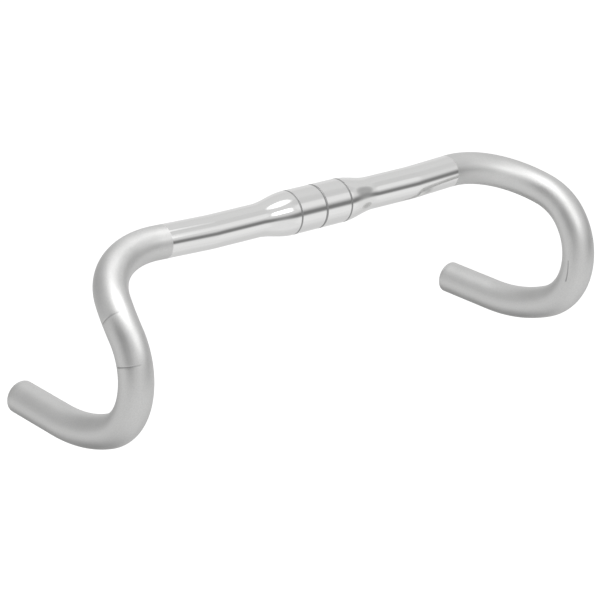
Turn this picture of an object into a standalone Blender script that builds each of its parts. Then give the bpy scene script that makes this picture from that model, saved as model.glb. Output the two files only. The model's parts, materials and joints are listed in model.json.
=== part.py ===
"""Drop handlebar: one bent alloy tube, bulged at the clamp, with an expanding plug in each open end.

Frame: origin on the tube's axis at the middle of the clamp zone, +X to the rider's left, -Y forward,
+Z up, with the straight drop ends level. Both sides are mirror images about the plane x = 0.
"""
import bpy
import bmesh
import math
from mathutils import Quaternion, Vector

MM = 0.001

# Tube
TUBE_RADIUS = 11.9 * MM
CLAMP_RADIUS = 15.9 * MM
WALL = 2.0 * MM
TAPER_START = 24.5 * MM
TAPER_END = 55.0 * MM
TAPER_STEPS = 6
TUBE_SIDES = 24
BORE_SIDES = 20
BEND_STEP = math.radians(8.0)

# Engraved rings on the clamp zone
GROOVE_DEPTH = 0.35 * MM
GROOVE_FLANK = 0.25 * MM
CENTRE_GROOVE_HALF = 0.9 * MM
EDGE_GROOVE_AT = 24.0 * MM
EDGE_GROOVE_HALF = 0.45 * MM

# Centreline of one side, from the clamp outwards
TOP_STRAIGHT = 94.0 * MM
SWEEP_RADIUS = 60.0 * MM
SWEEP_ANGLE = math.radians(4.5)
TOP_OUTER_STRAIGHT = 42.8 * MM
CORNER_RADIUS = 67.0 * MM
CORNER_ANGLE = math.radians(70.0)
CORNER_LEAN = math.radians(20.5)
RAMP_RADIUS = 48.0 * MM
TOE_IN = math.radians(1.9)
HOOK_ENTRY = math.radians(46.0)
HOOK_BENDS = (
    (47.5 * MM, math.radians(102.5)),
    (43.0 * MM, math.radians(154.0)),
    (124.0 * MM, math.radians(180.0)),
)
DROP_STRAIGHT = 46.0 * MM

# Expanding end plug, measured outwards from the tube's end face
GAP = 0.3 * MM
PLUG_SIDES = 32
BORE_RADIUS = TUBE_RADIUS - WALL
CAP_THICKNESS = 1.4 * MM
CAP_EDGE_ROUND = 0.8 * MM
CAP_SPIGOT_RADIUS = BORE_RADIUS - 0.5 * MM
CAP_SPIGOT_DEPTH = 6.0 * MM
COUNTERBORE_RADIUS = 5.0 * MM
SCREW_HEAD_RADIUS = 4.25 * MM
SCREW_HEAD_HEIGHT = 3.6 * MM
SCREW_HEAD_RECESS = 0.6 * MM
SCREW_RADIUS = 2.5 * MM
SCREW_REACH = 38.0 * MM
HEX_ACROSS_FLATS = 4.0 * MM
HEX_DEPTH = 2.2 * MM
WASHER_RADIUS = 9.3 * MM
WASHER_THICKNESS = 1.2 * MM
COLLAR_RADIUS = BORE_RADIUS - 0.35 * MM
COLLAR_LENGTH = 16.0 * MM
COLLAR_BORE_RADIUS = 3.2 * MM
COLLAR_CONE_START = 4.2 * MM
COLLAR_MOUTH_RADIUS = 7.2 * MM
WEDGE_NOSE = 3.0 * MM
WEDGE_TAIL_RADIUS = 8.2 * MM
WEDGE_TAIL_LENGTH = 4.0 * MM
WEDGE_OVERHANG = 3.5 * MM


def clear_scene():
    for scene_object in list(bpy.data.objects):
        bpy.data.objects.remove(scene_object, do_unlink=True)


def make_collection(name):
    collection = bpy.data.collections.new(name)
    bpy.context.scene.collection.children.link(collection)
    return collection


def make_material(name, colour, roughness, metallic):
    material = bpy.data.materials.new(name)
    material.use_nodes = True
    shader = material.node_tree.nodes["Principled BSDF"]
    shader.inputs["Base Color"].default_value = (*colour, 1.0)
    shader.inputs["Roughness"].default_value = roughness
    shader.inputs["Metallic"].default_value = metallic
    return material


class TubePath:
    """A centreline drawn as straights and bends, with the tube's radius at each point."""

    def __init__(self):
        self.position = Vector((0.0, 0.0, 0.0))
        self.direction = Vector((1.0, 0.0, 0.0))
        self.points = []

    def add_point(self, position, radius):
        self.points.append((position.copy(), radius))

    def straight(self, length, radius):
        self.position = self.position + self.direction * length
        self.add_point(self.position, radius)

    def bend(self, axis, bend_radius, angle, radius):
        axis = axis.normalized()
        centre = self.position + axis.cross(self.direction) * bend_radius
        steps = math.ceil(angle / BEND_STEP)
        turn = Quaternion(axis, angle / steps)
        for _ in range(steps):
            self.position = centre + turn @ (self.position - centre)
            self.direction = turn @ self.direction
            self.add_point(self.position, radius)


def taper_profile():
    """(distance, radius) pairs easing from the clamp diameter down to the tube's."""
    profile = []
    for step in range(TAPER_STEPS + 1):
        share = step / TAPER_STEPS
        ease = share * share * (3.0 - 2.0 * share)
        distance = TAPER_START + share * (TAPER_END - TAPER_START)
        profile.append((distance, CLAMP_RADIUS + ease * (TUBE_RADIUS - CLAMP_RADIUS)))
    return profile


def groove_profile():
    """(distance, radius) pairs of the middle ring's outer half and of the edge ring."""
    floor_radius = CLAMP_RADIUS - GROOVE_DEPTH
    return [
        (0.0, floor_radius),
        (CENTRE_GROOVE_HALF - GROOVE_FLANK, floor_radius),
        (CENTRE_GROOVE_HALF, CLAMP_RADIUS),
        (EDGE_GROOVE_AT - EDGE_GROOVE_HALF, CLAMP_RADIUS),
        (EDGE_GROOVE_AT - EDGE_GROOVE_HALF + GROOVE_FLANK, floor_radius),
        (EDGE_GROOVE_AT + EDGE_GROOVE_HALF - GROOVE_FLANK, floor_radius),
    ]


def draw_side(clamp_profile, inset, end_length):
    """One side's path: inset shrinks every radius, end_length is the last straight."""
    path = TubePath()
    for distance, radius in clamp_profile:
        path.add_point(Vector((distance, 0.0, 0.0)), radius - inset)
    radius = TUBE_RADIUS - inset

    path.straight(TOP_STRAIGHT, radius)
    path.bend(Vector((0.0, 0.0, 1.0)), SWEEP_RADIUS, SWEEP_ANGLE, radius)
    path.straight(TOP_OUTER_STRAIGHT, radius)

    lean = Vector((0.0, -math.cos(CORNER_LEAN), -math.sin(CORNER_LEAN)))
    path.bend(path.direction.cross(lean), CORNER_RADIUS, CORNER_ANGLE, radius)

    forward = Vector((math.sin(TOE_IN), -math.cos(TOE_IN), 0.0))
    down = Vector((0.0, 0.0, -1.0))
    entry = forward * math.cos(HOOK_ENTRY) + down * math.sin(HOOK_ENTRY)
    path.bend(path.direction.cross(entry), RAMP_RADIUS, path.direction.angle(entry), radius)

    turned = HOOK_ENTRY
    for bend_radius, reached in HOOK_BENDS:
        path.bend(forward.cross(down), bend_radius, reached - turned, radius)
        turned = reached
    path.straight(end_length, radius)
    return path


def tube_curve(name, path, sides):
    """A capped tube along the path and its mirror image across x = 0."""
    mirrored = [(Vector((-point.x, point.y, point.z)), radius) for point, radius in path.points]
    points = mirrored[:0:-1] + path.points

    curve = bpy.data.curves.new(name, "CURVE")
    curve.dimensions = "3D"
    curve.bevel_depth = TUBE_RADIUS
    curve.bevel_resolution = (sides - 4) // 2
    curve.use_fill_caps = True
    spline = curve.splines.new("POLY")
    spline.points.add(len(points) - 1)
    for spline_point, (point, radius) in zip(spline.points, points):
        spline_point.co = (*point, 1.0)
        spline_point.radius = radius / TUBE_RADIUS
    curve_object = bpy.data.objects.new(name, curve)
    bpy.context.scene.collection.objects.link(curve_object)
    return curve_object


def curve_as_mesh(curve_object, collection):
    """Replace a curve by a welded mesh object of the same name."""
    name = curve_object.name
    depsgraph = bpy.context.evaluated_depsgraph_get()
    mesh = bpy.data.meshes.new_from_object(curve_object.evaluated_get(depsgraph))
    weld = bmesh.new()
    weld.from_mesh(mesh)
    bmesh.ops.remove_doubles(weld, verts=weld.verts, dist=0.01 * MM)
    weld.to_mesh(mesh)
    weld.free()
    mesh.shade_smooth()
    mesh.set_sharp_from_angle(angle=math.radians(40.0))
    world = curve_object.matrix_world.copy()
    bpy.data.objects.remove(curve_object, do_unlink=True)
    mesh_object = bpy.data.objects.new(name, mesh)
    mesh_object.matrix_world = world
    collection.objects.link(mesh_object)
    return mesh_object


def cut(body, cutter):
    cutter.hide_render = True
    cutter.display_type = "WIRE"
    boolean = body.modifiers.new("cut_" + cutter.name, "BOOLEAN")
    boolean.operation = "DIFFERENCE"
    boolean.solver = "EXACT"
    boolean.object = cutter


def build_bar_tube(parts, cutters, material):
    """The tube, and the paths' end, where the plugs sit."""
    end_length = DROP_STRAIGHT - GAP - CAP_THICKNESS
    skin_path = draw_side(groove_profile() + taper_profile(), 0.0, end_length)
    bore_path = draw_side(taper_profile(), WALL, end_length + 5.0 * MM)

    tube = curve_as_mesh(tube_curve("bar_tube", skin_path, TUBE_SIDES), parts)
    bore = curve_as_mesh(tube_curve("bar_tube_bore", bore_path, BORE_SIDES), cutters)
    tube.data.materials.append(material)
    cut(tube, bore)
    return skin_path.position, skin_path.direction


def make_end_axis(name, position, direction, parts):
    """An empty on the tube's end face with its Z axis pointing out of the tube."""
    empty = bpy.data.objects.new(name, None)
    empty.empty_display_size = 20.0 * MM
    empty.location = position
    empty.rotation_mode = "QUATERNION"
    empty.rotation_quaternion = direction.to_track_quat("Z", "Y")
    parts.objects.link(empty)
    return empty


def turned(name, profile, material, parent, parts):
    """A closed (radius, height) outline spun about the parent's Z axis."""
    mesh = bpy.data.meshes.new(name)
    edges = [(index, index + 1) for index in range(len(profile) - 1)]
    if profile[0][0] > 0.0:
        edges.append((len(profile) - 1, 0))
    mesh.from_pydata([(radius, 0.0, height) for radius, height in profile], edges, [])
    outline = bpy.data.objects.new(name, mesh)
    bpy.context.scene.collection.objects.link(outline)

    spin = outline.modifiers.new("spin", "SCREW")
    spin.axis = "Z"
    spin.angle = 2.0 * math.pi
    spin.steps = PLUG_SIDES
    spin.render_steps = PLUG_SIDES
    spin.use_merge_vertices = True
    spin.merge_threshold = 0.01 * MM
    depsgraph = bpy.context.evaluated_depsgraph_get()
    solid = bpy.data.meshes.new_from_object(outline.evaluated_get(depsgraph))
    solid.name = name
    solid.shade_smooth()
    solid.set_sharp_from_angle(angle=math.radians(35.0))
    solid.materials.append(material)
    bpy.data.objects.remove(outline, do_unlink=True)

    piece = bpy.data.objects.new(name, solid)
    piece.parent = parent
    parts.objects.link(piece)
    return piece


def build_cap(side, axis, parts, material):
    face = GAP + CAP_THICKNESS
    seat = face - SCREW_HEAD_RECESS - SCREW_HEAD_HEIGHT - GAP
    profile = [(COUNTERBORE_RADIUS, face)]
    for step in range(4):
        angle = math.radians(90.0 - 30.0 * step)
        profile.append((
            TUBE_RADIUS - CAP_EDGE_ROUND + CAP_EDGE_ROUND * math.cos(angle),
            face - CAP_EDGE_ROUND + CAP_EDGE_ROUND * math.sin(angle),
        ))
    profile += [
        (TUBE_RADIUS, GAP),
        (CAP_SPIGOT_RADIUS, GAP),
        (CAP_SPIGOT_RADIUS, -CAP_SPIGOT_DEPTH),
        (SCREW_RADIUS + GAP, -CAP_SPIGOT_DEPTH),
        (SCREW_RADIUS + GAP, seat),
        (COUNTERBORE_RADIUS, seat),
    ]
    turned(side + "_plug_cap", profile, material, axis, parts)


def build_screw(side, axis, parts, cutters, material):
    top = GAP + CAP_THICKNESS - SCREW_HEAD_RECESS
    shoulder = top - SCREW_HEAD_HEIGHT
    chamfer = 0.4 * MM
    profile = [
        (0.0, top),
        (SCREW_HEAD_RADIUS - chamfer, top),
        (SCREW_HEAD_RADIUS, top - chamfer),
        (SCREW_HEAD_RADIUS, shoulder),
        (SCREW_RADIUS, shoulder),
        (SCREW_RADIUS, chamfer - SCREW_REACH),
        (SCREW_RADIUS - chamfer, -SCREW_REACH),
        (0.0, -SCREW_REACH),
    ]
    screw = turned(side + "_plug_screw", profile, material, axis, parts)

    bpy.ops.mesh.primitive_cylinder_add(
        vertices=6,
        radius=HEX_ACROSS_FLATS / math.sqrt(3.0),
        depth=2.0 * HEX_DEPTH,
    )
    key_hole = bpy.context.object
    key_hole.name = side + "_plug_screw_hex"
    key_hole.parent = axis
    key_hole.location = (0.0, 0.0, top)
    for owner in list(key_hole.users_collection):
        owner.objects.unlink(key_hole)
    cutters.objects.link(key_hole)
    cut(screw, key_hole)


def build_washer(side, axis, parts, material):
    top = -CAP_SPIGOT_DEPTH - GAP
    profile = [
        (WASHER_RADIUS, top),
        (WASHER_RADIUS, top - WASHER_THICKNESS),
        (SCREW_RADIUS + GAP, top - WASHER_THICKNESS),
        (SCREW_RADIUS + GAP, top),
    ]
    turned(side + "_plug_washer", profile, material, axis, parts)
    return top - WASHER_THICKNESS - GAP


def build_collar(side, axis, top, parts, material):
    """The rubber sleeve, with a conical mouth at its inner end for the wedge."""
    bottom = top - COLLAR_LENGTH
    lip = 0.6 * MM
    profile = [
        (COLLAR_RADIUS - lip, top),
        (COLLAR_RADIUS, top - lip),
        (COLLAR_RADIUS, bottom + lip),
        (COLLAR_RADIUS - lip, bottom),
        (COLLAR_MOUTH_RADIUS, bottom),
        (COLLAR_BORE_RADIUS, top - COLLAR_CONE_START),
        (COLLAR_BORE_RADIUS, top),
    ]
    turned(side + "_plug_collar", profile, material, axis, parts)


def build_wedge(side, axis, collar_top, parts, material):
    """The tapered nut, a constant gap inside the collar's mouth."""
    cone_top = collar_top - COLLAR_CONE_START
    mouth = collar_top - COLLAR_LENGTH
    slope = (COLLAR_MOUTH_RADIUS - COLLAR_BORE_RADIUS) / (cone_top - mouth)
    inset = GAP * math.hypot(1.0, slope)
    nose = cone_top - WEDGE_NOSE
    shoulder = mouth - WEDGE_OVERHANG
    shoulder_radius = COLLAR_BORE_RADIUS + slope * (cone_top - shoulder) - inset
    tail = shoulder - WEDGE_TAIL_LENGTH
    profile = [
        (COLLAR_BORE_RADIUS + slope * WEDGE_NOSE - inset, nose),
        (shoulder_radius, shoulder),
        (WEDGE_TAIL_RADIUS, shoulder),
        (WEDGE_TAIL_RADIUS, tail),
        (SCREW_RADIUS + GAP, tail),
        (SCREW_RADIUS + GAP, nose),
    ]
    turned(side + "_plug_wedge", profile, material, axis, parts)


def build_plug(side, position, direction, parts, cutters, materials):
    axis = make_end_axis(side + "_end_axis", position, direction, parts)
    build_cap(side, axis, parts, materials["cap"])
    build_screw(side, axis, parts, cutters, materials["screw"])
    collar_top = build_washer(side, axis, parts, materials["washer"])
    build_collar(side, axis, collar_top, parts, materials["collar"])
    build_wedge(side, axis, collar_top, parts, materials["wedge"])


def main():
    clear_scene()
    parts = make_collection("drop_handlebar")
    cutters = make_collection("cutters")
    tube_metal = make_material("satin_tube", (0.72, 0.72, 0.71), 0.32, 1.0)
    materials = {
        "cap": make_material("cap_alloy", (0.66, 0.66, 0.66), 0.30, 1.0),
        "screw": make_material("screw_steel", (0.42, 0.42, 0.44), 0.28, 1.0),
        "washer": make_material("washer_steel", (0.55, 0.55, 0.56), 0.35, 1.0),
        "collar": make_material("collar_rubber", (0.03, 0.03, 0.03), 0.75, 0.0),
        "wedge": make_material("wedge_alloy", (0.60, 0.60, 0.61), 0.40, 1.0),
    }

    end, outward = build_bar_tube(parts, cutters, tube_metal)
    for side, sign in (("left", 1.0), ("right", -1.0)):
        position = Vector((sign * end.x, end.y, end.z))
        direction = Vector((sign * outward.x, outward.y, outward.z))
        build_plug(side, position, direction, parts, cutters, materials)


main()
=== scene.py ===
import json
import math

import bmesh
import bpy
import numpy as np
from mathutils import Matrix, Quaternion, Vector


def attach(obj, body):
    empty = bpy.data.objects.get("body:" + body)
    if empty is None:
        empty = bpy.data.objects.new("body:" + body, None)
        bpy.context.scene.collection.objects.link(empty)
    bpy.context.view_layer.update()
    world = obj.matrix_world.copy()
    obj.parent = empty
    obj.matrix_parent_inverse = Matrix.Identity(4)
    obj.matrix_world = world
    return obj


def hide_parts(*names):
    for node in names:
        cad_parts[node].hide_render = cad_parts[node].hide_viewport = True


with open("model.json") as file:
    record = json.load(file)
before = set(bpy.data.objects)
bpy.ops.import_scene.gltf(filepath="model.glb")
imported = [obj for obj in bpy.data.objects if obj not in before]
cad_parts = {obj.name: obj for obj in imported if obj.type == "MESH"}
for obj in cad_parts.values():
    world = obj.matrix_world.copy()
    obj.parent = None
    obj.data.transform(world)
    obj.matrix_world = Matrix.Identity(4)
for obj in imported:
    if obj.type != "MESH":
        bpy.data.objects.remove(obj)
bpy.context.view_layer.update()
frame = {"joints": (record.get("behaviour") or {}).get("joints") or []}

# ---------------------------------------------------------------------------------------------
# Camera. A long lens from the rider's front right, a little above the bar and rolled slightly,
# so the far hook opens towards the lens and the near one hangs in front.
MM = 0.001
CAMERA_AZIMUTH = math.radians(44.364)
CAMERA_ELEVATION = math.radians(21.519)
CAMERA_ROLL = math.radians(4.38)
CAMERA_DISTANCE = 2041.7 * MM
CAMERA_LENS = 173.78
AIM_RIGHT = -8.68 * MM
AIM_UP = -65.74 * MM

camera_back = Vector((
    -math.sin(CAMERA_AZIMUTH) * math.cos(CAMERA_ELEVATION),
    -math.cos(CAMERA_AZIMUTH) * math.cos(CAMERA_ELEVATION),
    math.sin(CAMERA_ELEVATION),
))
level_right = Vector((0.0, 0.0, 1.0)).cross(camera_back).normalized()
level_up = camera_back.cross(level_right)
camera_right = Quaternion(camera_back, CAMERA_ROLL) @ level_right
camera_up = Quaternion(camera_back, CAMERA_ROLL) @ level_up
camera_place = camera_back * CAMERA_DISTANCE + camera_right * AIM_RIGHT + camera_up * AIM_UP

camera_data = bpy.data.cameras.new("product_camera")
camera_data.lens = CAMERA_LENS
camera_data.sensor_width = 36.0
camera_data.clip_end = 50.0
camera = bpy.data.objects.new("product_camera", camera_data)
camera_turn = Matrix((camera_right, camera_up, camera_back)).transposed().to_4x4()
camera.matrix_world = Matrix.Translation(camera_place) @ camera_turn
bpy.context.scene.collection.objects.link(camera)
bpy.context.scene.camera = camera
bpy.context.scene.view_settings.view_transform = "Standard"

# ---------------------------------------------------------------------------------------------
# Studio. A white cove with a soft box overhead; the bar's polish shows the cove's brightness
# from side to side, a dark gap at the horizon in front and the unlit room behind the camera.
FLOOR_HEIGHT = -700.0 * MM
FLOOR_SIZE = 30.0
FLOOR_GLOW = 0.5
TABLE_BRIGHTNESS, WALL_BRIGHTNESS, GAP_BRIGHTNESS = 0.80, 0.71, 0.21


def add_node(tree, kind, inputs=None, **settings):
    """A shader node; inputs maps a socket to a value or to another node's output."""
    made = tree.nodes.new("ShaderNode" + kind)
    for setting, value in settings.items():
        setattr(made, setting, value)
    for socket, value in (inputs or {}).items():
        if isinstance(value, bpy.types.NodeSocket):
            tree.links.new(value, made.inputs[socket])
        else:
            made.inputs[socket].default_value = value
    return made


def maths(tree, operation, first, second=0.0):
    return add_node(tree, "Math", {0: first, 1: second}, operation=operation).outputs[0]


def eased(tree, value, start, end, low=0.0, high=1.0):
    """low up to start, high from end on, and a smooth step between."""
    sockets = {"Value": value, "From Min": start, "From Max": end, "To Min": low, "To Max": high}
    return add_node(tree, "MapRange", sockets, interpolation_type="SMOOTHSTEP").outputs["Result"]


def mixed(tree, share, first, second):
    """first where share is 0, second where it is 1."""
    return add_node(tree, "Mix", {0: share, 2: first, 3: second}, data_type="FLOAT").outputs[0]


def towards(azimuth, elevation):
    """Unit vector; azimuth in degrees from straight ahead of the bar round to the rider's left."""
    azimuth, elevation = math.radians(azimuth), math.radians(elevation)
    return Vector((
        math.sin(azimuth) * math.cos(elevation),
        -math.cos(azimuth) * math.cos(elevation),
        math.sin(elevation),
    ))


def patch(tree, direction, azimuth, elevation, inner, outer):
    """1 within inner degrees of a bearing, 0 beyond outer degrees."""
    facing = add_node(tree, "VectorMath", {0: direction, 1: towards(azimuth, elevation)},
                      operation="DOT_PRODUCT").outputs["Value"]
    return eased(tree, facing, math.cos(math.radians(outer)), math.cos(math.radians(inner)))


studio = bpy.data.worlds.new("studio")
bpy.context.scene.world = studio
studio.use_nodes = True
sky = studio.node_tree
sky.nodes.clear()
sky_direction = add_node(sky, "TexCoord").outputs["Generated"]
sky_height = add_node(sky, "SeparateXYZ", {0: sky_direction}).outputs["Z"]

# The cove: bright table below, slightly greyer wall and ceiling above it.
wall = eased(sky, sky_height, math.sin(math.radians(-14)), math.sin(math.radians(12)),
             TABLE_BRIGHTNESS, WALL_BRIGHTNESS)
# (bearing, height, inner, outer) in degrees, then the brightness there
STUDIO_PATCHES = (
    ((137, -10, 12, 42), 0.86),
    ((-168, 12, 16, 42), 0.47),
    ((-76, 22, 8, 42), 0.22),
    ((178, -62, 8, 38), 0.32),
    ((44, -19, 5, 16), 0.86),
    ((88, -50, 5, 28), 0.70),
    ((68, 46, 5, 20), 0.65),
    ((79, 13, 11, 20), 0.42),
    ((47, 31, 5, 14), 0.84),
)
for where, brightness in STUDIO_PATCHES:
    wall = mixed(sky, patch(sky, sky_direction, *where), wall, brightness)
# The dark gap where table and wall meet, only ahead of the bar.
gap_low = eased(sky, sky_height, math.sin(math.radians(-12)), math.sin(math.radians(0)))
gap_high = eased(sky, sky_height, math.sin(math.radians(5)), math.sin(math.radians(20)), 1.0, 0.0)
gap_ahead = patch(sky, sky_direction, 40, 4, 8, 42)
gap = maths(sky, "MULTIPLY", maths(sky, "MULTIPLY", gap_low, gap_high), gap_ahead)
wall = mixed(sky, gap, wall, GAP_BRIGHTNESS)
seen_directly = add_node(sky, "LightPath").outputs["Is Camera Ray"]
light = mixed(sky, seen_directly, wall, 1.0)
background = add_node(sky, "Background", {"Color": (1.0, 1.0, 1.0, 1.0), "Strength": light})
add_node(sky, "OutputWorld", {"Surface": background.outputs[0]})

# How far the cloth's dimming reaches in from its edges, and the lamp's watts per square metre.
BOX_FADE = 0.26
BOX_POWER = 4.0


def soft_box(name, centre, width, depth, brightness):
    """A rectangular lamp facing the bar's middle, its cloth dimmer towards the edges."""
    lamp = bpy.data.lights.new(name, "AREA")
    lamp.shape = "RECTANGLE"
    lamp.size, lamp.size_y = width, depth
    lamp.energy = BOX_POWER * width * depth * brightness
    lamp.use_nodes = True
    cloth = lamp.node_tree
    on_cloth = add_node(cloth, "NewGeometry").outputs["Parametric"]
    on_cloth = add_node(cloth, "SeparateXYZ", {0: on_cloth})
    glow = 1.0
    for across_cloth in ("X", "Y"):
        off_centre = maths(cloth, "SUBTRACT", on_cloth.outputs[across_cloth], 0.5)
        from_centre = maths(cloth, "ABSOLUTE", off_centre)
        glow = maths(cloth, "MULTIPLY", glow, eased(cloth, from_centre, 0.5 - BOX_FADE, 0.5, 1.0, 0.0))
    cloth.links.new(glow, cloth.nodes["Emission"].inputs["Strength"])
    box = bpy.data.objects.new(name, lamp)
    box.location = centre
    box.rotation_mode = "QUATERNION"
    box.rotation_quaternion = centre.to_track_quat("Z", "Y")
    bpy.context.scene.collection.objects.link(box)


soft_box("overhead_soft_box", Vector((-0.08, -0.07, 0.90)), 1.10, 1.02, 1.72)
soft_box("front_soft_box", towards(5, 36) * 1.0, 0.82, 0.38, 1.5)

floor_mesh = bpy.data.meshes.new("cove_floor")
floor_edit = bmesh.new()
bmesh.ops.create_grid(floor_edit, x_segments=1, y_segments=1, size=FLOOR_SIZE / 2)
floor_edit.to_mesh(floor_mesh)
floor_edit.free()
floor = bpy.data.objects.new("cove_floor", floor_mesh)
floor.location.z = FLOOR_HEIGHT
bpy.context.scene.collection.objects.link(floor)
floor_paint = bpy.data.materials.new("white_cove_paint")
floor_paint.use_nodes = True
floor_shader = floor_paint.node_tree.nodes["Principled BSDF"]
floor_shader.inputs["Base Color"].default_value = (0.93, 0.93, 0.93, 1.0)
floor_shader.inputs["Roughness"].default_value = 0.9
floor_shader.inputs["Emission Color"].default_value = (1.0, 1.0, 1.0, 1.0)
floor_shader.inputs["Emission Strength"].default_value = FLOOR_GLOW
floor_mesh.materials.append(floor_paint)
floor.visible_glossy = False

# ---------------------------------------------------------------------------------------------
# Bar tube. One length of 23.8 mm drawn aluminium tube, bulged to 31.8 mm for the stem and bent
# cold to shape. The middle is buffed bright between maskings, the bends and drops are blasted
# and anodised to a satin, and rings and lever marks are cut in with a tool.
TUBE_RADIUS = 11.9 * MM
CLAMP_RADIUS = 15.9 * MM
WALL = 2.0 * MM
TAPER_START = 24.5 * MM
TAPER_END = 55.0 * MM
TAPER_ROWS = 26

TOP_STRAIGHT = 94.0 * MM
SWEEP = (60.0 * MM, math.radians(4.5))
TOP_OUTER_STRAIGHT = 42.8 * MM
CORNER = (67.0 * MM, math.radians(70.0))
CORNER_LEAN = math.radians(20.5)
RAMP_RADIUS = 48.0 * MM
TOE_IN = math.radians(1.9)
HOOK_ENTRY = math.radians(46.0)
HOOK_BENDS = (
    (47.5 * MM, math.radians(102.5)),
    (43.0 * MM, math.radians(154.0)),
    (124.0 * MM, math.radians(180.0)),
)
DROP_STRAIGHT = 44.3 * MM


class Centreline:
    """The rider's left half of the bar, from the clamp outwards, as straights and bends."""

    def __init__(self):
        self.position = Vector((0.0, 0.0, 0.0))
        self.turn = Quaternion((1.0, 0.0, 0.0, 0.0))
        self.length = 0.0
        self.runs = []

    def direction(self):
        return self.turn @ Vector((1.0, 0.0, 0.0))

    def straight(self, length):
        self.runs.append((self.length, self.position, self.turn, None, None, 0.0))
        self.position = self.position + self.direction() * length
        self.length += length

    def bend(self, axis, radius, angle):
        axis = axis.normalized()
        centre = self.position + axis.cross(self.direction()) * radius
        self.runs.append((self.length, self.position, self.turn, axis, centre, radius))
        swing = Quaternion(axis, angle)
        self.position = centre + swing @ (self.position - centre)
        self.turn = swing @ self.turn
        self.length += radius * angle

    def at(self, distance):
        """The centre there, and the turn that takes the straight tube's axes to the bar's."""
        run = max((r for r in self.runs if r[0] <= distance), key=lambda r: r[0])
        start, position, turn, axis, centre, radius = run
        if axis is None:
            return position + turn @ Vector((distance - start, 0.0, 0.0)), turn
        swing = Quaternion(axis, (distance - start) / radius)
        return centre + swing @ (position - centre), swing @ turn


bar = Centreline()
bar.straight(TOP_STRAIGHT)
bar.bend(Vector((0.0, 0.0, 1.0)), *SWEEP)
bar.straight(TOP_OUTER_STRAIGHT)
lean = Vector((0.0, -math.cos(CORNER_LEAN), -math.sin(CORNER_LEAN)))
bar.bend(bar.direction().cross(lean), *CORNER)
forward = Vector((math.sin(TOE_IN), -math.cos(TOE_IN), 0.0))
down = Vector((0.0, 0.0, -1.0))
hook_entry = forward * math.cos(HOOK_ENTRY) + down * math.sin(HOOK_ENTRY)
bar.bend(bar.direction().cross(hook_entry), RAMP_RADIUS, bar.direction().angle(hook_entry))
turned_so_far = HOOK_ENTRY
for hook_radius, hook_angle in HOOK_BENDS:
    bar.bend(forward.cross(down), hook_radius, hook_angle - turned_so_far)
    turned_so_far = hook_angle
bar.straight(DROP_STRAIGHT)

# Rings round the clamp zone: (distance from the middle, half width at the top).
RINGS = ((0.0, 1.0 * MM), (24.0 * MM, 0.75 * MM))
RING_DEPTH = 0.2 * MM
RING_FLANK = 0.2 * MM
# Lever marks: (distance along the bar, how boldly cut), and the arc from the top they cross.
LEVER_MARKS = ((240.3 * MM, 0.65), (271.0 * MM, 1.0))
MARK_HALF_WIDTH = 0.55 * MM
MARK_FLANK = 0.3 * MM
MARK_FROM, MARK_TO = math.radians(-84.0), math.radians(1.0)
MARK_START_EASE = (-0.03, 0.05)
MARK_END_EASE = 0.3
MARK_FADE = 0.55
MARK_DEPTH = 0.14 * MM
CUT_EDGE = 0.09 * MM
LINE_START, LINE_END = 284.0 * MM, 300.5 * MM
LINE_ANGLE = math.radians(115.0)
LINE_SLANT = math.radians(-7.0)
LINE_HALF_WIDTH = 0.42 * MM
LINE_FLANK = 0.25 * MM
LINE_END_EASE = 0.3 * MM
LINE_WIDENING = 0.5
COLUMNS = 88
STRAIGHT_STEP = 4.0 * MM
BEND_STEP = 1.6 * MM
RIM_ROUND = 0.15 * MM
BORE_STEP = 6.0 * MM
BORE_START = 0.6 * MM
BORE_CHAMFER = 0.25 * MM
CLOSEST_ROWS = 0.02 * MM


def smooth(value, start, end):
    share = np.clip((value - start) / (end - start), 0.0, 1.0)
    return share * share * (3.0 - 2.0 * share)


def skin_radius(distance):
    ease = smooth(distance, TAPER_START, TAPER_END)
    return CLAMP_RADIUS + (TUBE_RADIUS - CLAMP_RADIUS) * ease


def across(value, centre, half_width, flank):
    """1 on a cut's floor, 0 outside it."""
    return 1.0 - smooth(abs(value - centre), half_width - flank, half_width)


def cut_share(distance, angle):
    """How deep in the rings' cuts, and in the lever marks', each point of a section lies."""
    ring = max(across(distance, at, half, RING_FLANK) for at, half in RINGS)
    ring_colour_mask = max(across(distance, at, half + CUT_EDGE, CUT_EDGE) for at, half in RINGS)
    swept = (angle - MARK_FROM + math.pi) % (2.0 * math.pi) - math.pi
    arc = MARK_TO - MARK_FROM
    along_arc = smooth(swept, *MARK_START_EASE) * (1.0 - smooth(swept, arc, arc + MARK_END_EASE))
    along_arc *= 1.0 - MARK_FADE * smooth(swept, 0.3 * arc, arc)
    mark = max(across(distance, at, MARK_HALF_WIDTH, MARK_FLANK) * bold for at, bold in LEVER_MARKS)
    return ring, ring_colour_mask, mark * along_arc


# Stations along one half: close together in the bends and at the cuts, wide apart elsewhere.
stations = {0.0, bar.length}
for run, following in zip(bar.runs, bar.runs[1:] + [(bar.length,)]):
    step = STRAIGHT_STEP if run[3] is None else BEND_STEP
    count = max(1, math.ceil((following[0] - run[0]) / step))
    stations.update(run[0] + (following[0] - run[0]) * i / count for i in range(count))
stations.update(TAPER_START + (TAPER_END - TAPER_START) * i / TAPER_ROWS for i in range(TAPER_ROWS + 1))
for ring_at, ring_half in RINGS:
    for i in range(5):
        for side_of_ring in (-1, 1):
            stations.add(ring_at + side_of_ring * (ring_half - RING_FLANK * i / 4))
    stations.update((ring_at - ring_half - CUT_EDGE, ring_at + ring_half + CUT_EDGE))
for mark_at, _ in LEVER_MARKS:
    stations.update(mark_at + MARK_HALF_WIDTH * i / 3 for i in range(-3, 4))
for line_end in (LINE_START, LINE_END):
    stations.update(line_end + 0.2 * MM * i for i in range(-2, 3))
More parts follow.
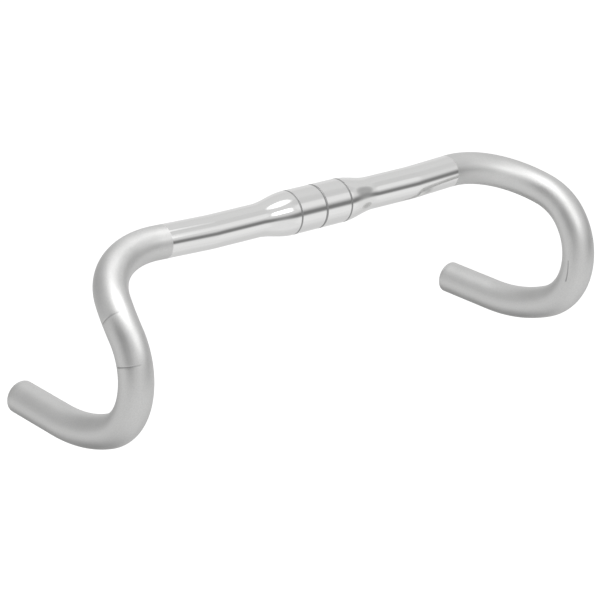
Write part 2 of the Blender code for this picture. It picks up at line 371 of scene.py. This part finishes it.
stations = sorted(s for s in stations if s >= 0.0)
stations = [s for s, after in zip(stations, stations[1:] + [1.0]) if after - s > CLOSEST_ROWS]

# Columns round the tube: even, with close ones beside the long mark.
even = [2.0 * math.pi * i / COLUMNS for i in range(COLUMNS)]
beside_line = [LINE_ANGLE + math.radians(d) for d in (-3.2, -2.1, -1.1, 0.0, 1.1, 2.1, 3.2)]
clear_of_line = [a for a in even if abs(a - LINE_ANGLE) > math.radians(4.5)]
columns = np.array(sorted(clear_of_line + beside_line))


def section(distance, radius, side, cuts):
    """One loop of points round the tube, with its place on the straight tube and its cuts."""
    centre, turn = bar.at(min(distance, bar.length))
    slant = LINE_SLANT * min(max((distance - LINE_START) / (LINE_END - LINE_START), 0.0), 1.0)
    angles = columns + slant
    depth = np.zeros(len(columns))
    cut = np.zeros(len(columns))
    if cuts:
        ring, ring_colour_mask, mark = cut_share(distance, angles)
        in_line = min(smooth(distance, LINE_START - LINE_END_EASE, LINE_START + LINE_END_EASE),
                      1.0 - smooth(distance, LINE_END - LINE_END_EASE, LINE_END + LINE_END_EASE))
        half_width = LINE_HALF_WIDTH * (1.0 + LINE_WIDENING * smooth(distance, LINE_START, LINE_END))
        line = in_line * across(columns * radius, LINE_ANGLE * radius, half_width, LINE_FLANK)
        depth = RING_DEPTH * ring + MARK_DEPTH * np.maximum(mark, line)
        cut = np.maximum(ring_colour_mask, np.maximum(mark, line))
    reach = radius - depth
    top = np.array(turn @ Vector((0.0, 0.0, 1.0)))
    front = np.array(turn @ Vector((0.0, -1.0, 0.0)))
    points = np.array(centre) + reach[:, None] * (
        np.cos(angles)[:, None] * top + np.sin(angles)[:, None] * front)
    unbent = np.stack([
        np.full(len(columns), distance), reach * np.cos(angles), reach * np.sin(angles)], axis=1)
    if side < 0:
        points[:, 0] *= -1.0
        unbent[:, 0] *= -1.0
    return points, unbent, cut


def skin(name, loops, joined):
    """A mesh of quads over loops of equal length; joined closes the last loop on the first."""
    loops = np.array(loops)
    rows, count = loops.shape[:2]
    row = np.arange(rows if joined else rows - 1)[:, None]
    column = np.arange(count)[None, :]
    after_row, after_column = (row + 1) % rows, (column + 1) % count
    faces = np.stack([
        row * count + column,
        row * count + after_column,
        after_row * count + after_column,
        after_row * count + column,
    ], axis=-1).reshape(-1, 4)
    mesh = bpy.data.meshes.new(name)
    mesh.from_pydata(loops.reshape(-1, 3).tolist(), [], faces.tolist())
    mesh.update()
    return mesh


# Loops as (distance, radius, whether cuts are made in it).
half_loops = [(s, float(skin_radius(s)), True) for s in stations if s < bar.length - RIM_ROUND]
for step in range(4):
    round_the_rim = math.radians(30.0 * step)
    half_loops.append((
        bar.length - RIM_ROUND + RIM_ROUND * math.sin(round_the_rim),
        TUBE_RADIUS - RIM_ROUND + RIM_ROUND * math.cos(round_the_rim),
        False,
    ))
BORE_RADIUS = TUBE_RADIUS - WALL
rim = [(bar.length, BORE_RADIUS + BORE_CHAMFER, False), (bar.length - BORE_CHAMFER, BORE_RADIUS, False)]
bore_count = round(bar.length / BORE_STEP)
bore = []
for i in range(bore_count, 0, -1):
    distance = (bar.length - BORE_START) * i / bore_count
    bore.append((distance, float(skin_radius(distance)) - WALL, False))
middle_bore = (0.0, CLAMP_RADIUS - WALL, False)

ring_of_sections = (
    [(-1, s) for s in half_loops[:0:-1]]
    + [(1, s) for s in half_loops]
    + [(1, s) for s in rim + bore]
    + [(1, middle_bore)]
    + [(-1, s) for s in bore[::-1]]
    + [(-1, s) for s in rim[::-1]]
)
tube_sections = [section(s[0], s[1], side, s[2]) for side, s in ring_of_sections]
tube_mesh = skin("bar_tube_finished", [s[0] for s in tube_sections], joined=True)


def keep_on_points(mesh, name, kind, values):
    mesh.attributes.new(name, kind, "POINT").data.foreach_set(
        "vector" if kind == "FLOAT_VECTOR" else "value", np.asarray(values, np.float32).ravel())


keep_on_points(tube_mesh, "straight_tube", "FLOAT_VECTOR", np.concatenate([s[1] for s in tube_sections]))
keep_on_points(tube_mesh, "cut", "FLOAT", np.concatenate([s[2] for s in tube_sections]))


JOIN_WITHIN = 0.002 * MM


def finish_mesh(mesh, sharp_angle):
    """Outward faces, no doubled points, smooth shading with crisp corners."""
    edit = bmesh.new()
    edit.from_mesh(mesh)
    bmesh.ops.remove_doubles(edit, verts=edit.verts, dist=JOIN_WITHIN)
    bmesh.ops.recalc_face_normals(edit, faces=edit.faces)
    edit.to_mesh(mesh)
    edit.free()
    mesh.shade_smooth()
    mesh.set_sharp_from_angle(angle=math.radians(sharp_angle))


finish_mesh(tube_mesh, sharp_angle=50.0)
bar_tube = bpy.data.objects.new("bar_tube_finished", tube_mesh)
bpy.context.scene.collection.objects.link(bar_tube)

# Where the masking tape lay: the buffed middle ends nearer the stem on the rider's right.
POLISH_FROM, POLISH_TO = -135.4 * MM, 138.4 * MM
TAPE_RAGGED = 0.25 * MM
TAPE_WANDER = 0.3 * MM
CUT_ROUGHNESS = 0.45


def new_metal(name):
    material = bpy.data.materials.new(name)
    material.use_nodes = True
    shader = material.node_tree.nodes["Principled BSDF"]
    shader.inputs["Metallic"].default_value = 1.0
    return material, material.node_tree, shader


def noise(tree, vector, scale, detail=2.0, roughness=0.5):
    sockets = {"Vector": vector, "Scale": scale, "Detail": detail, "Roughness": roughness}
    return add_node(tree, "TexNoise", sockets).outputs["Fac"]


def stretched(tree, vector, along, across_x, across_y):
    return add_node(tree, "VectorMath", {0: vector, 1: (along, across_x, across_y)},
                    operation="MULTIPLY").outputs["Vector"]


def tinted(tree, value, dark, light):
    """A colour between two greys, by value from 0 to 1."""
    sockets = {0: value, 6: (*dark, 1.0), 7: (*light, 1.0)}
    return add_node(tree, "Mix", sockets, data_type="RGBA").outputs[2]


tube_metal, nodes, shader = new_metal("anodised_drawn_tube")
shader.inputs["Specular Tint"].default_value = (0.87, 0.87, 0.87, 1.0)
place = add_node(nodes, "Attribute", attribute_name="straight_tube").outputs["Vector"]
cut_here = add_node(nodes, "Attribute", attribute_name="cut").outputs["Fac"]
along = add_node(nodes, "SeparateXYZ", {0: place}).outputs["X"]
ragged = maths(nodes, "MULTIPLY_ADD", noise(nodes, place, 900.0), TAPE_WANDER)
ragged.node.inputs[2].default_value = -0.5 * TAPE_WANDER
along = maths(nodes, "ADD", along, ragged)
satin = maths(nodes, "ADD",
              eased(nodes, along, POLISH_TO - TAPE_RAGGED, POLISH_TO + TAPE_RAGGED),
              eased(nodes, along, POLISH_FROM - TAPE_RAGGED, POLISH_FROM + TAPE_RAGGED, 1.0, 0.0))

draw_lines = noise(nodes, stretched(nodes, place, 6.0, 900.0, 900.0), 1.0, 3.0, 0.6)
buff_lines = noise(nodes, stretched(nodes, place, 2600.0, 60.0, 60.0), 1.0, 2.0, 0.5)
clouding = noise(nodes, place, 55.0, 3.0, 0.55)
blasting = noise(nodes, place, 1400.0, 4.0, 0.7)
handling = noise(nodes, stretched(nodes, place, 25.0, 60.0, 60.0), 1.0, 4.0, 0.6)

polished_colour = tinted(nodes, draw_lines, (0.865, 0.864, 0.860), (0.93, 0.93, 0.922))
satin_cloud = tinted(nodes, clouding, (0.690, 0.690, 0.684), (0.772, 0.772, 0.767))
satin_grain = tinted(nodes, eased(nodes, blasting, 0.3, 0.7), (0.95, 0.95, 0.95), (1.04, 1.04, 1.04))
satin_colour = add_node(nodes, "Mix", {0: 1.0, 6: satin_cloud, 7: satin_grain},
                        data_type="RGBA", blend_type="MULTIPLY").outputs[2]
colour = add_node(nodes, "Mix", {0: satin, 6: polished_colour, 7: satin_colour},
                  data_type="RGBA").outputs[2]
# The cuts are coloured a darker grey and made rougher than the tube round them: the rings with a thin
# edge beside them, the lever marks and the long line.
cut_colour = (0.40, 0.40, 0.40, 1.0)
colour = add_node(nodes, "Mix", {0: cut_here, 6: colour, 7: cut_colour}, data_type="RGBA").outputs[2]
nodes.links.new(colour, shader.inputs["Base Color"])

polished_roughness = eased(nodes, maths(nodes, "ADD", draw_lines, handling), 0.8, 1.3, 0.07, 0.13)
satin_lines = maths(nodes, "MULTIPLY", maths(nodes, "ADD", clouding, draw_lines), 0.5)
satin_roughness = eased(nodes, satin_lines, 0.35, 0.65, 0.43, 0.50)
roughness = mixed(nodes, satin, polished_roughness, satin_roughness)
nodes.links.new(mixed(nodes, cut_here, roughness, CUT_ROUGHNESS), shader.inputs["Roughness"])

polish_bump = add_node(nodes, "Bump", {"Strength": 0.5, "Distance": 0.0006 * MM, "Height": draw_lines})
buff_bump = add_node(nodes, "Bump", {"Strength": 0.5, "Distance": 0.0008 * MM, "Height": buff_lines,
                                     "Normal": polish_bump.outputs[0]})
blast_bump = add_node(nodes, "Bump", {"Strength": satin, "Distance": 0.012 * MM, "Height": blasting,
                                      "Normal": buff_bump.outputs[0]})
nodes.links.new(blast_bump.outputs[0], shader.inputs["Normal"])
tube_mesh.materials.append(tube_metal)
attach(bar_tube, "handlebar")
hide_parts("bar_tube")

# ---------------------------------------------------------------------------------------------
# End caps. Each open end is shut by an expanding plug. Its cap is turned from aluminium bar and
# blasted like the tube: a rounded edge flush with the tube, a seat for the screw's head, and a
# spigot with crush grooves that is pushed into the bore.
PLUG_COLUMNS = 72
plug_angles = np.arange(PLUG_COLUMNS) * 2.0 * math.pi / PLUG_COLUMNS
CAP_RADIUS = 11.9
CAP_FACE = 1.7
CAP_UNDERSIDE = 0.03
CAP_ROUND = 1.15
CAP_SEAT = -2.8
CAP_SPIGOT = 9.4
CAP_SPIGOT_END = -6.0
CAP_BORE = 2.8
CAP_SEAT_RADIUS = 5.0
FACE_GROOVE_FROM, FACE_GROOVE_TO, FACE_GROOVE_DEPTH = 8.3, 8.8, 0.14
CRUSH_GROOVES = (-1.4, -2.8, -4.2)
CRUSH_DEPTH = 0.25

# Where each plug sits: the middle of the tube's end face, and the turn that points Z out of it.
# The screw's joint is on the cap's outer face.
plug_ends = {}
for joint in frame["joints"]:
    if joint["name"].endswith("_screw_turn"):
        outwards = Vector(joint["axis"]).normalized()
        tube_end = Vector(joint["pos_m"]) - outwards * CAP_FACE * MM
        turn = outwards.to_track_quat("Z", "Y").to_matrix()
        plug_ends[joint["name"].split("_")[0]] = (np.array(tube_end), np.array(turn))


def turned(outline):
    """Loops for an outline of (radius, height) in millimetres, spun round the plug's axis.

    A radius may be one number or one for every column."""
    loops = []
    for radius, height in outline:
        reach = np.broadcast_to(np.asarray(radius, float), (PLUG_COLUMNS,))
        loop = [reach * np.cos(plug_angles), reach * np.sin(plug_angles), np.full(PLUG_COLUMNS, height)]
        loops.append(np.stack(loop, axis=1) * MM)
    return np.array(loops)


def fit_plug_piece(side, kind, outline, joined, material, body):
    """Makes one piece of a plug, in place of the CAD node of that name."""
    base, turn = plug_ends[side]
    loops = turned(outline)
    name = side + "_plug_" + kind + "_finished"
    mesh = skin(name, loops @ turn.T + base, joined)
    keep_on_points(mesh, "on_plug", "FLOAT_VECTOR", loops)
    finish_mesh(mesh, sharp_angle=32.0)
    mesh.materials.append(material)
    piece = bpy.data.objects.new(name, mesh)
    bpy.context.scene.collection.objects.link(piece)
    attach(piece, body)
    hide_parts(side + "_plug_" + kind)


def tool_rings(tree, place, scale):
    """Noise that changes only outwards and along the axis, as a lathe tool leaves it."""
    out = add_node(tree, "VectorMath", {0: stretched(tree, place, 1.0, 1.0, 0.0)},
                   operation="LENGTH").outputs["Value"]
    height = add_node(tree, "SeparateXYZ", {0: place}).outputs["Z"]
    swept = add_node(tree, "CombineXYZ", {"X": out, "Z": height}).outputs[0]
    return noise(tree, swept, scale, 3.0, 0.65), out


def turned_metal(name, dark, light, smoothest, roughest, ring_scale, ring_depth):
    """Metal with tool rings and a clouded surface; the caller may still change its colour."""
    material, tree, shader = new_metal(name)
    place = add_node(tree, "Attribute", attribute_name="on_plug").outputs["Vector"]
    rings, out = tool_rings(tree, place, ring_scale)
    clouds = noise(tree, place, 420.0, 4.0, 0.6)
    both = maths(tree, "MULTIPLY", maths(tree, "ADD", rings, clouds), 0.5)
    colour = tinted(tree, eased(tree, both, 0.35, 0.65), dark, light)
    tree.links.new(colour, shader.inputs["Base Color"])
    tree.links.new(eased(tree, clouds, 0.35, 0.65, smoothest, roughest), shader.inputs["Roughness"])
    ring_bump = add_node(tree, "Bump", {"Strength": 0.7, "Distance": ring_depth * MM, "Height": rings})
    grain = noise(tree, place, 5200.0, 2.0, 0.6)
    grain_bump = add_node(tree, "Bump", {"Strength": 0.5, "Distance": 0.006 * MM, "Height": grain,
                                         "Normal": ring_bump.outputs[0]})
    tree.links.new(grain_bump.outputs[0], shader.inputs["Normal"])
    return material, tree, shader, out


cap_outline = [
    (CAP_SEAT_RADIUS, CAP_SEAT), (CAP_SEAT_RADIUS, CAP_FACE - 0.25),
    (CAP_SEAT_RADIUS + 0.1, CAP_FACE - 0.08), (CAP_SEAT_RADIUS + 0.3, CAP_FACE),
    (FACE_GROOVE_FROM, CAP_FACE), (FACE_GROOVE_FROM + 0.12, CAP_FACE - FACE_GROOVE_DEPTH),
    (FACE_GROOVE_TO - 0.12, CAP_FACE - FACE_GROOVE_DEPTH), (FACE_GROOVE_TO, CAP_FACE),
]
for step in range(9):
    round_the_edge = math.radians(90.0 - 11.25 * step)
    cap_outline.append((
        CAP_RADIUS - CAP_ROUND + CAP_ROUND * math.cos(round_the_edge),
        CAP_FACE - CAP_ROUND + CAP_ROUND * math.sin(round_the_edge),
    ))
cap_outline += [(CAP_RADIUS, 0.12), (CAP_RADIUS - 0.1, CAP_UNDERSIDE), (CAP_SPIGOT, CAP_UNDERSIDE)]
for groove_at in CRUSH_GROOVES:
    cap_outline += [(CAP_SPIGOT, groove_at + 0.3), (CAP_SPIGOT - CRUSH_DEPTH, groove_at + 0.06),
                    (CAP_SPIGOT - CRUSH_DEPTH, groove_at - 0.06), (CAP_SPIGOT, groove_at - 0.3)]
cap_outline += [(CAP_SPIGOT, CAP_SPIGOT_END + 0.5), (CAP_SPIGOT - 0.5, CAP_SPIGOT_END),
                (CAP_BORE + 0.2, CAP_SPIGOT_END), (CAP_BORE, CAP_SPIGOT_END + 0.2), (CAP_BORE, CAP_SEAT)]
cap_metal = turned_metal("blasted_cap_alloy", (0.66, 0.66, 0.655), (0.76, 0.76, 0.755), 0.34, 0.42,
                         4200.0, 0.002)[0]
for side in plug_ends:
    fit_plug_piece(side, "cap", cap_outline, True, cap_metal, "handlebar")

# ---------------------------------------------------------------------------------------------
# Plug screws. A steel socket-head screw in each cap, its head knurled for the fingers and sunk in
# the seat, its thread rolled with a 0.8 mm pitch. Turning it draws the wedge along.
HEAD_TOP = 1.1
HEAD_FOOT = -2.5
HEAD_RADIUS = 4.25
KNURL_DEPTH = 0.17
SOCKET_FLOOR = -1.1
SOCKET_HALF_FLATS = 2.0
SHANK_RADIUS = 2.45
THREAD_START, THREAD_END = -12.0, -37.5
THREAD_CREST, THREAD_ROOT = 2.5, 2.12
THREAD_PITCH = 0.8
THREAD_ROWS_PER_PITCH = 8
SCREW_TIP = -38.0

every_other = np.arange(PLUG_COLUMNS) % 2
sixth = math.pi / 3.0
socket = SOCKET_HALF_FLATS / np.cos((plug_angles + sixth / 2.0) % sixth - sixth / 2.0)
knurled = HEAD_RADIUS - KNURL_DEPTH * every_other
plain_head = HEAD_RADIUS - KNURL_DEPTH
screw_outline = [
    (0.0, SOCKET_FLOOR - 0.35), (socket * 0.6, SOCKET_FLOOR - 0.08), (socket, SOCKET_FLOOR),
    (socket, HEAD_TOP - 0.2), (2.5, HEAD_TOP), (3.7, HEAD_TOP), (3.95, HEAD_TOP - 0.1),
    (plain_head, HEAD_TOP - 0.4), (knurled, HEAD_TOP - 0.5), (knurled, HEAD_FOOT + 0.5),
    (plain_head, HEAD_FOOT + 0.4), (plain_head - 0.15, HEAD_FOOT), (SHANK_RADIUS + 0.2, HEAD_FOOT),
    (SHANK_RADIUS, HEAD_FOOT - 0.2), (SHANK_RADIUS, THREAD_START + 0.3),
]
thread_rows = round((THREAD_START - THREAD_END) / THREAD_PITCH * THREAD_ROWS_PER_PITCH)
for row in range(thread_rows + 1):
    height = THREAD_START + (THREAD_END - THREAD_START) * row / thread_rows
    turns_up = (height / THREAD_PITCH - plug_angles / (2.0 * math.pi)) % 1.0
    crest = np.clip(1.7 * np.abs(2.0 * turns_up - 1.0) - 0.35, 0.0, 1.0)
    runs_out = smooth(height, THREAD_START, THREAD_START - THREAD_PITCH)
    runs_out *= smooth(height, THREAD_END, THREAD_END + THREAD_PITCH)
    screw_outline.append((THREAD_ROOT + (THREAD_CREST - THREAD_ROOT) * crest * runs_out, height))
screw_outline += [(1.75, SCREW_TIP), (0.0, SCREW_TIP)]

screw_steel, tree, shader, out = turned_metal(
    "oiled_screw_steel", (0.30, 0.30, 0.315), (0.46, 0.46, 0.47), 0.22, 0.38, 3000.0, 0.002)
# The colour lightens with distance from the axis: darker at the thread roots, lighter at the crests and
# over the head.
crest_lightening_mask = eased(tree, out, (THREAD_ROOT + 0.1) * MM, THREAD_CREST * MM)
unlightened_colour = shader.inputs["Base Color"].links[0].from_socket
crest_lightening_share = maths(tree, "MULTIPLY", crest_lightening_mask, 0.45)
bright = add_node(tree, "Mix", {0: crest_lightening_share, 6: unlightened_colour, 7: (0.62, 0.62, 0.63, 1.0)},
                  data_type="RGBA").outputs[2]
tree.links.new(bright, shader.inputs["Base Color"])
for side in plug_ends:
    fit_plug_piece(side, "screw", screw_outline, False, screw_steel, side + "_screw")

# ---------------------------------------------------------------------------------------------
# Plug washers. A plated steel washer between each cap's spigot and the rubber, punched from
# sheet, so that one face has rolled edges and the other a slight burr.
WASHER_TOP, WASHER_FOOT = -6.3, -7.5
WASHER_BORE, WASHER_RADIUS = 2.8, 9.3
WASHER_BURR = 0.04
washer_outline = [
    (WASHER_BORE, WASHER_TOP - 0.32), (WASHER_BORE + 0.04, WASHER_TOP - 0.12),
    (WASHER_BORE + 0.2, WASHER_TOP), (WASHER_RADIUS - 0.35, WASHER_TOP),
    (WASHER_RADIUS - 0.14, WASHER_TOP - 0.06), (WASHER_RADIUS - 0.02, WASHER_TOP - 0.2),
    (WASHER_RADIUS, WASHER_TOP - 0.4), (WASHER_RADIUS, WASHER_FOOT + 0.08),
    (WASHER_RADIUS - 0.04, WASHER_FOOT), (WASHER_RADIUS - 0.2, WASHER_FOOT + WASHER_BURR),
    (WASHER_BORE + 0.25, WASHER_FOOT + WASHER_BURR), (WASHER_BORE + 0.05, WASHER_FOOT),
    (WASHER_BORE, WASHER_FOOT + 0.08),
]
washer_steel = turned_metal("plated_washer_steel", (0.50, 0.505, 0.51), (0.64, 0.64, 0.645), 0.24, 0.42,
                            1500.0, 0.003)[0]
for side in plug_ends:
    fit_plug_piece(side, "washer", washer_outline, True, washer_steel, "handlebar")

# ---------------------------------------------------------------------------------------------
# Expander collars. A moulded black rubber sleeve with six grip ribs; the wedge spreads its
# conical mouth against the bore, and the ribs hold the plug there.
COLLAR_TOP, COLLAR_END = -7.8, -23.8
COLLAR_RADIUS = 9.55
RIB_GAP_RADIUS = 9.0
RIB_GAPS, FIRST_RIB, RIB_SPACING = 5, 1.6, 2.8
COLLAR_BORE = 3.2
COLLAR_MOUTH = 7.2
COLLAR_CONE_FROM = -12.0
collar_outline = [(COLLAR_BORE, COLLAR_TOP - 0.25), (COLLAR_BORE + 0.25, COLLAR_TOP),
                  (COLLAR_RADIUS - 0.6, COLLAR_TOP), (COLLAR_RADIUS - 0.15, COLLAR_TOP - 0.12),
                  (COLLAR_RADIUS, COLLAR_TOP - 0.5)]
for gap_number in range(RIB_GAPS):
    gap_top = COLLAR_TOP - FIRST_RIB - RIB_SPACING * gap_number
    collar_outline += [
        (COLLAR_RADIUS, gap_top), (COLLAR_RADIUS - 0.12, gap_top - 0.22),
        (RIB_GAP_RADIUS + 0.06, gap_top - 0.42), (RIB_GAP_RADIUS, gap_top - 0.62),
        (RIB_GAP_RADIUS, gap_top - 0.98), (RIB_GAP_RADIUS + 0.06, gap_top - 1.18),
        (COLLAR_RADIUS - 0.12, gap_top - 1.38), (COLLAR_RADIUS, gap_top - 1.6),
    ]
collar_outline += [
    (COLLAR_RADIUS, COLLAR_END + 0.5), (COLLAR_RADIUS - 0.15, COLLAR_END + 0.12),
    (COLLAR_RADIUS - 0.6, COLLAR_END), (COLLAR_MOUTH + 0.2, COLLAR_END),
    (COLLAR_MOUTH, COLLAR_END + 0.2), (COLLAR_BORE, COLLAR_CONE_FROM),
]
collar_rubber = bpy.data.materials.new("moulded_collar_rubber")
collar_rubber.use_nodes = True
tree = collar_rubber.node_tree
shader = tree.nodes["Principled BSDF"]
place = add_node(tree, "Attribute", attribute_name="on_plug").outputs["Vector"]
bloom = noise(tree, place, 300.0, 4.0, 0.6)
mould_grain = noise(tree, place, 4200.0, 2.0, 0.55)
tree.links.new(tinted(tree, eased(tree, bloom, 0.4, 0.7), (0.018, 0.018, 0.018), (0.045, 0.045, 0.043)),
               shader.inputs["Base Color"])
tree.links.new(eased(tree, bloom, 0.3, 0.7, 0.52, 0.74), shader.inputs["Roughness"])
rubber_bump = add_node(tree, "Bump", {"Strength": 0.6, "Distance": 0.02 * MM, "Height": mould_grain})
tree.links.new(rubber_bump.outputs[0], shader.inputs["Normal"])
for side in plug_ends:
    fit_plug_piece(side, "collar", collar_outline, True, collar_rubber, "handlebar")

# ---------------------------------------------------------------------------------------------
# Wedge nuts. A cone turned from aluminium bar and threaded for the screw, with flutes that bite
# into the rubber so that it can't spin, and a knurled tail.
WEDGE_NOSE, WEDGE_SHOULDER, WEDGE_TAIL = -15.0, -27.3, -31.3
WEDGE_NOSE_RADIUS = 3.9
WEDGE_SHOULDER_RADIUS = 8.05
WEDGE_TAIL_RADIUS = 8.2
WEDGE_BORE = 2.8
FLUTES = 6
FLUTE_DEPTH = 0.6
TAIL_KNURL_DEPTH = 0.2
CONE_ROWS = 14
flute = (0.5 + 0.5 * np.cos(FLUTES * plug_angles)) ** 3
wedge_outline = [(WEDGE_BORE, WEDGE_NOSE - 0.3), (WEDGE_BORE + 0.3, WEDGE_NOSE),
                 (WEDGE_NOSE_RADIUS - 0.2, WEDGE_NOSE)]
for row in range(CONE_ROWS + 1):
    share = row / CONE_ROWS
    height = WEDGE_NOSE - 0.15 + (WEDGE_SHOULDER - WEDGE_NOSE + 0.15) * share
    fluted = FLUTE_DEPTH * flute * float(smooth(share, 0.0, 0.3)) * float(1.0 - smooth(share, 0.8, 1.0))
    cone_radius = WEDGE_NOSE_RADIUS + (WEDGE_SHOULDER_RADIUS - WEDGE_NOSE_RADIUS) * share
    wedge_outline.append((cone_radius - fluted, height))
tail_knurl = WEDGE_TAIL_RADIUS - TAIL_KNURL_DEPTH * every_other
wedge_outline += [
    (WEDGE_TAIL_RADIUS - TAIL_KNURL_DEPTH, WEDGE_SHOULDER - 0.3), (tail_knurl, WEDGE_SHOULDER - 0.5),
    (tail_knurl, WEDGE_TAIL + 0.5), (WEDGE_TAIL_RADIUS - 0.3, WEDGE_TAIL), (WEDGE_BORE + 0.3, WEDGE_TAIL),
    (WEDGE_BORE, WEDGE_TAIL + 0.3),
]
wedge_metal = turned_metal("machined_wedge_alloy", (0.54, 0.54, 0.545), (0.70, 0.70, 0.70), 0.22, 0.36,
                           2200.0, 0.006)[0]
for side in plug_ends:
    fit_plug_piece(side, "wedge", wedge_outline, True, wedge_metal, side + "_wedge")
